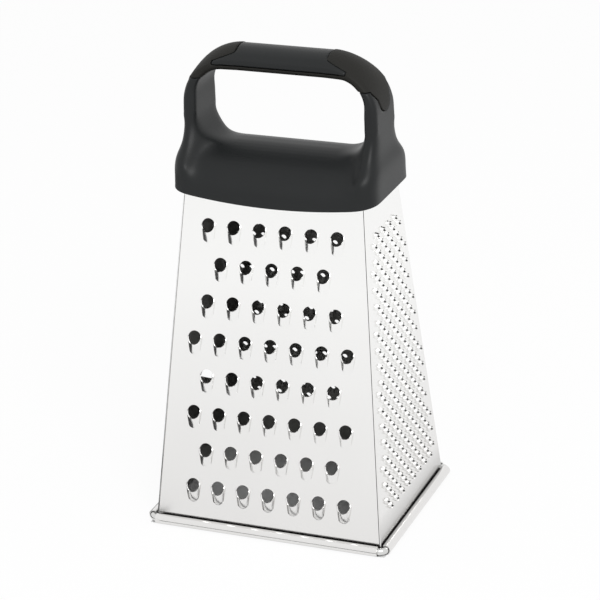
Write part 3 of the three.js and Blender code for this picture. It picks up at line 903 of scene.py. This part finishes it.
softGrip = {
    "wall": 1.2, "proud": 0.3, "seam": 0.15, "coverTop": 24.6, "coverFront": 14.6, "slantTop": 2.0,
    "slantBottom": 5.9, "lower": 14.4, "tongue": 25.6, "tongueWidth": 13.0, "tongueSteps": 14,
    "palmStrip": 7.6, "voxel": 0.45, "rounds": 4,
}


def gripSpace(inset):
    # Space that the soft grip takes up, its edges drawn in by an inset
    topX = postOuter - softGrip["coverTop"] + inset
    frontX = postOuter - softGrip["coverFront"] + inset
    high = handleTop + bail["barThickness"]
    low = handleTop - softGrip["lower"] + inset
    far = 2 * postOuter
    stripX = frontX + bail["edgeRadius"]
    stripTop = handleTop - softGrip["palmStrip"] - inset
    strip = [(-stripX, low), (stripX, low), (stripX, stripTop), (-stripX, stripTop)]
    space = frontPrism(strip, bail["barDepth"])
    for hand in (-1, 1):
        shoulder = frontPrism([
            (hand * topX, high), (hand * topX, handleTop - softGrip["slantTop"]),
            (hand * frontX, handleTop - softGrip["slantBottom"]), (hand * frontX, low),
            (hand * far, low), (hand * far, high),
        ], bail["barDepth"])
        combine(space, shoulder, "UNION")
    tipRadius = softGrip["tongueWidth"] / 2
    tipMiddle = handleTop - softGrip["tongue"] + tipRadius
    shape = []
    for i in range(softGrip["tongueSteps"] + 1):
        turn = math.pi + math.pi * i / softGrip["tongueSteps"]
        shape.append(((tipRadius - inset) * math.cos(turn), tipMiddle + (tipRadius - inset) * math.sin(turn)))
    shape.append((bail["postDepth"] / 2 - inset, low + bail["edgeRadius"]))
    shape.append((-bail["postDepth"] / 2 + inset, low + bail["edgeRadius"]))
    for hand in (-1, 1):
        near = hand * postOuter - bail["postThickness"] / 2
        rings = [[Vector((x, y, z)) for y, z in shape] for x in (near, near + bail["postThickness"])]
        combine(space, loftRings(rings), "UNION")
    return space


def fillCoves(obj):
    # Rounds the inner corners: smooths only round the creases that turn inward
    obj.vertex_groups.new(name="cove")
    everyone = list(range(len(obj.data.vertices)))
    for _ in range(bail["covePasses"]):
        mesh = bmesh.new()
        mesh.from_mesh(obj.data)
        mesh.verts.ensure_lookup_table()
        chosen = set()
        for edge in mesh.edges:
            place = edge.verts[0].co
            if place.z < bail["coveTop"] and edge.calc_face_angle_signed(0) < bail["coveAngle"]:
                chosen.update(vert.index for vert in edge.verts)
        edgeOfArea = chosen
        for _ in range(bail["coveGrowth"]):
            edgeOfArea = {
                edge.other_vert(mesh.verts[i]).index for i in edgeOfArea for edge in mesh.verts[i].link_edges
            } - chosen
            chosen |= edgeOfArea
        mesh.free()
        group = obj.vertex_groups["cove"]
        group.remove(everyone)
        group.add(list(chosen), 1.0, "REPLACE")
        smoothOut(obj, bail["coveRounds"], "cove")
    obj.vertex_groups.clear()


def blendFeet(obj):
    # Smooths the posts' feet into the skirt
    group = obj.vertex_groups.new(name="feet")
    for vert in obj.data.vertices:
        across = smoothStep((abs(vert.co.x) - bail["feetFrom"]) / bail["feetFade"])
        up = smoothStep((vert.co.z - bail["feetLow"]) / bail["feetFade"])
        down = smoothStep((bail["feetHigh"] - vert.co.z) / bail["feetFade"])
        group.add([vert.index], across * up * down, "REPLACE")
    smoothOut(obj, bail["feetRounds"], "feet")
    obj.vertex_groups.clear()


def makeHandleFrame():
    handle = combine(makeStrap(0), gripSpace(-softGrip["seam"]), "DIFFERENCE")
    combine(handle, makeStrap(-softGrip["wall"]), "UNION")
    combine(handle, makeSaddle(), "UNION")
    soften(handle, bail["voxel"], bail["rounds"])
    fillCoves(handle)
    blendFeet(handle)
    combine(handle, belowSkirt(), "DIFFERENCE")
    combine(handle, bodyRoom(sheetBody["gap"]), "DIFFERENCE")
    finishPiece(
        handle, "handleFrame", "handle_frame", hardPlastic, angle=bail["smoothAngle"]
    )


def makeSoftGrip():
    grip = combine(makeStrap(softGrip["proud"]), gripSpace(softGrip["seam"]), "INTERSECT")
    combine(grip, makeStrap(sheetBody["gap"] - softGrip["wall"]), "DIFFERENCE")
    soften(grip, softGrip["voxel"], softGrip["rounds"])
    finishPiece(grip, "softGrip", "soft_grip", softRubber, angle=bail["smoothAngle"])


makeHandleFrame()
makeSoftGrip()


# Retainer inside the top, and its screws
retainer = {
    "thickness": 3.0, "edge": 0.6, "edgeSteps": 3, "rim": 3.0, "recess": 1.2, "screwInset": 15.1,
    "screwHead": 6.6, "screwHeadHeight": 2.2, "screwShank": 3.0, "screwLength": 11.0, "screwTip": 3.0,
    "tipShare": 0.25, "screwSlot": 1.0, "slotReach": 5.0, "screwFacets": 24,
    "headRings": ((0.55, 1.0), (0.9, 0.75), (1.0, 0.4), (1.0, 0.0)),  # shares of the head's radius, height
}
retainerTop = sheetBody["height"] - sheetBody["sheet"] - sheetBody["gap"]
retainerBottom = retainerTop - retainer["thickness"]


def makeRetainerPlate():
    gap, sheet = sheetBody["gap"], sheetBody["sheet"]
    halfX = halfWidth(retainerTop) - sheet - 2 * gap
    halfY = halfDepth(retainerTop) - 2 * sheet - 3 * gap
    bpy.ops.object.select_all(action="DESELECT")
    bpy.ops.mesh.primitive_cube_add(size=1, location=(0, 0, (retainerTop + retainerBottom) / 2))
    plate = bpy.context.active_object
    plate.dimensions = (2 * halfX, 2 * halfY, retainer["thickness"])
    bpy.ops.object.transform_apply(location=True, rotation=True, scale=True)
    bpy.ops.object.mode_set(mode="EDIT")
    bpy.ops.mesh.select_mode(type="FACE")
    bpy.ops.mesh.select_all(action="DESELECT")
    mesh = editMesh(plate)
    downward = -0.9
    for face in mesh.faces:
        face.select = face.normal.z < downward
    bmesh.update_edit_mesh(plate.data)
    bpy.ops.mesh.inset(thickness=retainer["rim"])
    bpy.ops.transform.translate(value=(0, 0, retainer["recess"]))
    bpy.ops.object.mode_set(mode="OBJECT")
    applyModifier(
        plate, "BEVEL", width=retainer["edge"], segments=retainer["edgeSteps"], limit_method="ANGLE"
    )
    finishPiece(plate, "retainerPlate", "retainer_plate", innerPlastic)


def makeScrew(name, node, x):
    head, shank = retainer["screwHead"] / 2, retainer["screwShank"] / 2
    headHeight = retainer["screwHeadHeight"]
    under = retainerBottom - sheetBody["gap"]
    tip = under + retainer["screwLength"]
    profile = [(wide * head, under - deep * headHeight) for wide, deep in retainer["headRings"]]
    profile += [(shank, under), (shank, tip - retainer["screwTip"]), (retainer["tipShare"] * shank, tip)]
    turns = [2 * math.pi * i / retainer["screwFacets"] for i in range(retainer["screwFacets"])]
    screw = loftRings([
        [Vector((x + r * math.cos(turn), r * math.sin(turn), z)) for turn in turns] for r, z in profile
    ])
    reach, half = retainer["slotReach"], retainer["screwSlot"] / 2
    corners = ((-reach, -half), (reach, -half), (reach, half), (-reach, half))
    heights = (under - 2 * headHeight, under - headHeight / 2)
    slot = loftRings([[Vector((x + a, b, z)) for a, b in corners] for z in heights])
    combine(screw, slot, "DIFFERENCE")
    finishPiece(screw, name, node, screwSteel)


makeRetainerPlate()
screwX = sheetBody["topWidth"] / 2 - retainer["screwInset"]
makeScrew("screwLeft", "retainer_screw_left", -screwX)
makeScrew("screwRight", "retainer_screw_right", screwX)


# Floor, light and camera
studio = {
    "floorSize": 6.0, "floorColour": (0.9, 0.9, 0.9, 1), "insideX": 0.0585, "insideY": 0.0465,
    "whiteShare": 0.9, "worldStrength": 0.75,
    "keyPlace": (0.9, -1.3, 1.5), "keyTarget": (0, 0, 0.1), "keySize": 1.2, "keyPower": 22.0,
    "cardHeight": 0.001, "cardTone": 0.05,
    "cards": (
        ((-0.55, -0.14), (-0.12, 0.30)),
        ((-0.12, -0.075), (-0.062, 0.30)),
        ((-0.055, -0.054), (0.055, -0.0515)),
    ),
}
photoCamera = {
    "place": (419.84, -1034.21, 561.69), "target": (2.50, 0.0, 102.15), "roll": math.radians(-1.95),
    "lens": 156.0, "sensor": 36.0, "clip": (0.01, 50.0),
}


def viewers(tree):
    # 1 for what the camera sees directly, in reflections and through glass
    camera = tree.add("ShaderNodeLightPath", {}, {}, "Is Camera Ray")
    path = camera.socket.node
    glossy = Signal(tree, path.outputs["Is Glossy Ray"])
    return camera.larger(glossy).larger(Signal(tree, path.outputs["Is Transmission Ray"]))


def bareMaterial(name):
    # A material that has no nodes yet, and its tree
    material = bpy.data.materials.new(name)
    material.use_nodes = True
    material.node_tree.nodes.clear()
    return material, NodeTree(material.node_tree)


def makeFloor():
    bpy.ops.object.select_all(action="DESELECT")
    bpy.ops.mesh.primitive_plane_add(size=studio["floorSize"], location=(0, 0, 0))
    floor = bpy.context.active_object
    floor.name = "floor"
    material, tree = bareMaterial("floorPaper")
    x, y, _ = tree.axes()
    outside = (abs(x) > studio["insideX"]).larger(abs(y) > studio["insideY"])
    paper = tree.add("ShaderNodeBsdfDiffuse", {}, {"Color": studio["floorColour"]})
    white = tree.add("ShaderNodeEmission", {}, {"Strength": 1.0})
    share = viewers(tree) * outside * studio["whiteShare"]
    tree.add("ShaderNodeOutputMaterial", {}, {
        "Surface": tree.add("ShaderNodeMixShader", {}, {0: share, 1: paper, 2: white}),
    }, None)
    floor.data.materials.append(material)


def makeCards():
    # Dark cards on the floor beside the object and before its front roll, seen only in reflections: painted
    # dark reflections on the steel, for dark surroundings and for the shade before the front roll
    material, tree = bareMaterial("cardPaper")
    tone = tree.add("ShaderNodeEmission", {}, {"Strength": studio["cardTone"]})
    tree.add("ShaderNodeOutputMaterial", {}, {"Surface": tone}, None)
    for low, high in studio["cards"]:
        middle = ((low[0] + high[0]) / 2, (low[1] + high[1]) / 2, studio["cardHeight"])
        bpy.ops.object.select_all(action="DESELECT")
        bpy.ops.mesh.primitive_plane_add(size=1, location=middle)
        card = bpy.context.active_object
        card.name = "darkCard"
        card.dimensions = (high[0] - low[0], high[1] - low[1], 0)
        bpy.ops.object.transform_apply(location=True, rotation=True, scale=True)
        card.data.materials.append(material)
        card.visible_camera = False
        card.visible_diffuse = False
        card.visible_shadow = False
        card.visible_transmission = False


def makeWorld():
    world = bpy.data.worlds.new("studio")
    bpy.context.scene.world = world
    world.use_nodes = True
    tree = NodeTree(world.node_tree)
    tree.nodes.clear()
    white = (1, 1, 1, 1)
    soft = tree.add("ShaderNodeBackground", {}, {"Color": white, "Strength": studio["worldStrength"]})
    bright = tree.add("ShaderNodeBackground", {}, {"Color": white, "Strength": 1.0})
    tree.add("ShaderNodeOutputWorld", {}, {
        "Surface": tree.add("ShaderNodeMixShader", {}, {0: viewers(tree), 1: soft, 2: bright}),
    }, None)


def makeKey():
    bpy.ops.object.light_add(type="AREA", location=studio["keyPlace"])
    key = bpy.context.active_object
    key.name = "keyLamp"
    key.data.size = studio["keySize"]
    key.data.energy = studio["keyPower"]
    aim = Vector(studio["keyTarget"]) - Vector(studio["keyPlace"])
    key.rotation_euler = aim.to_track_quat("-Z", "Y").to_euler()


def makeCamera():
    place = Vector(photoCamera["place"]) * metre
    target = Vector(photoCamera["target"]) * metre
    forward = (target - place).normalized()
    right = forward.cross(Vector((0, 0, 1))).normalized()
    up = right.cross(forward)
    c, s = math.cos(photoCamera["roll"]), math.sin(photoCamera["roll"])
    turnedRight = c * right + s * up
    turnedUp = -s * right + c * up
    basis = Matrix((turnedRight, turnedUp, -forward)).transposed().to_4x4()
    bpy.ops.object.camera_add()
    camera = bpy.context.active_object
    camera.name = "photoCamera"
    camera.matrix_world = Matrix.Translation(place) @ basis
    camera.data.sensor_width = photoCamera["sensor"]
    camera.data.lens = photoCamera["lens"]
    camera.data.clip_start, camera.data.clip_end = photoCamera["clip"]
    bpy.context.scene.camera = camera


makeFloor()
makeCards()
makeWorld()
makeKey()
makeCamera()
bpy.context.scene.view_settings.view_transform = "Standard"
print("studio made")

bpy.context.view_layer.update()
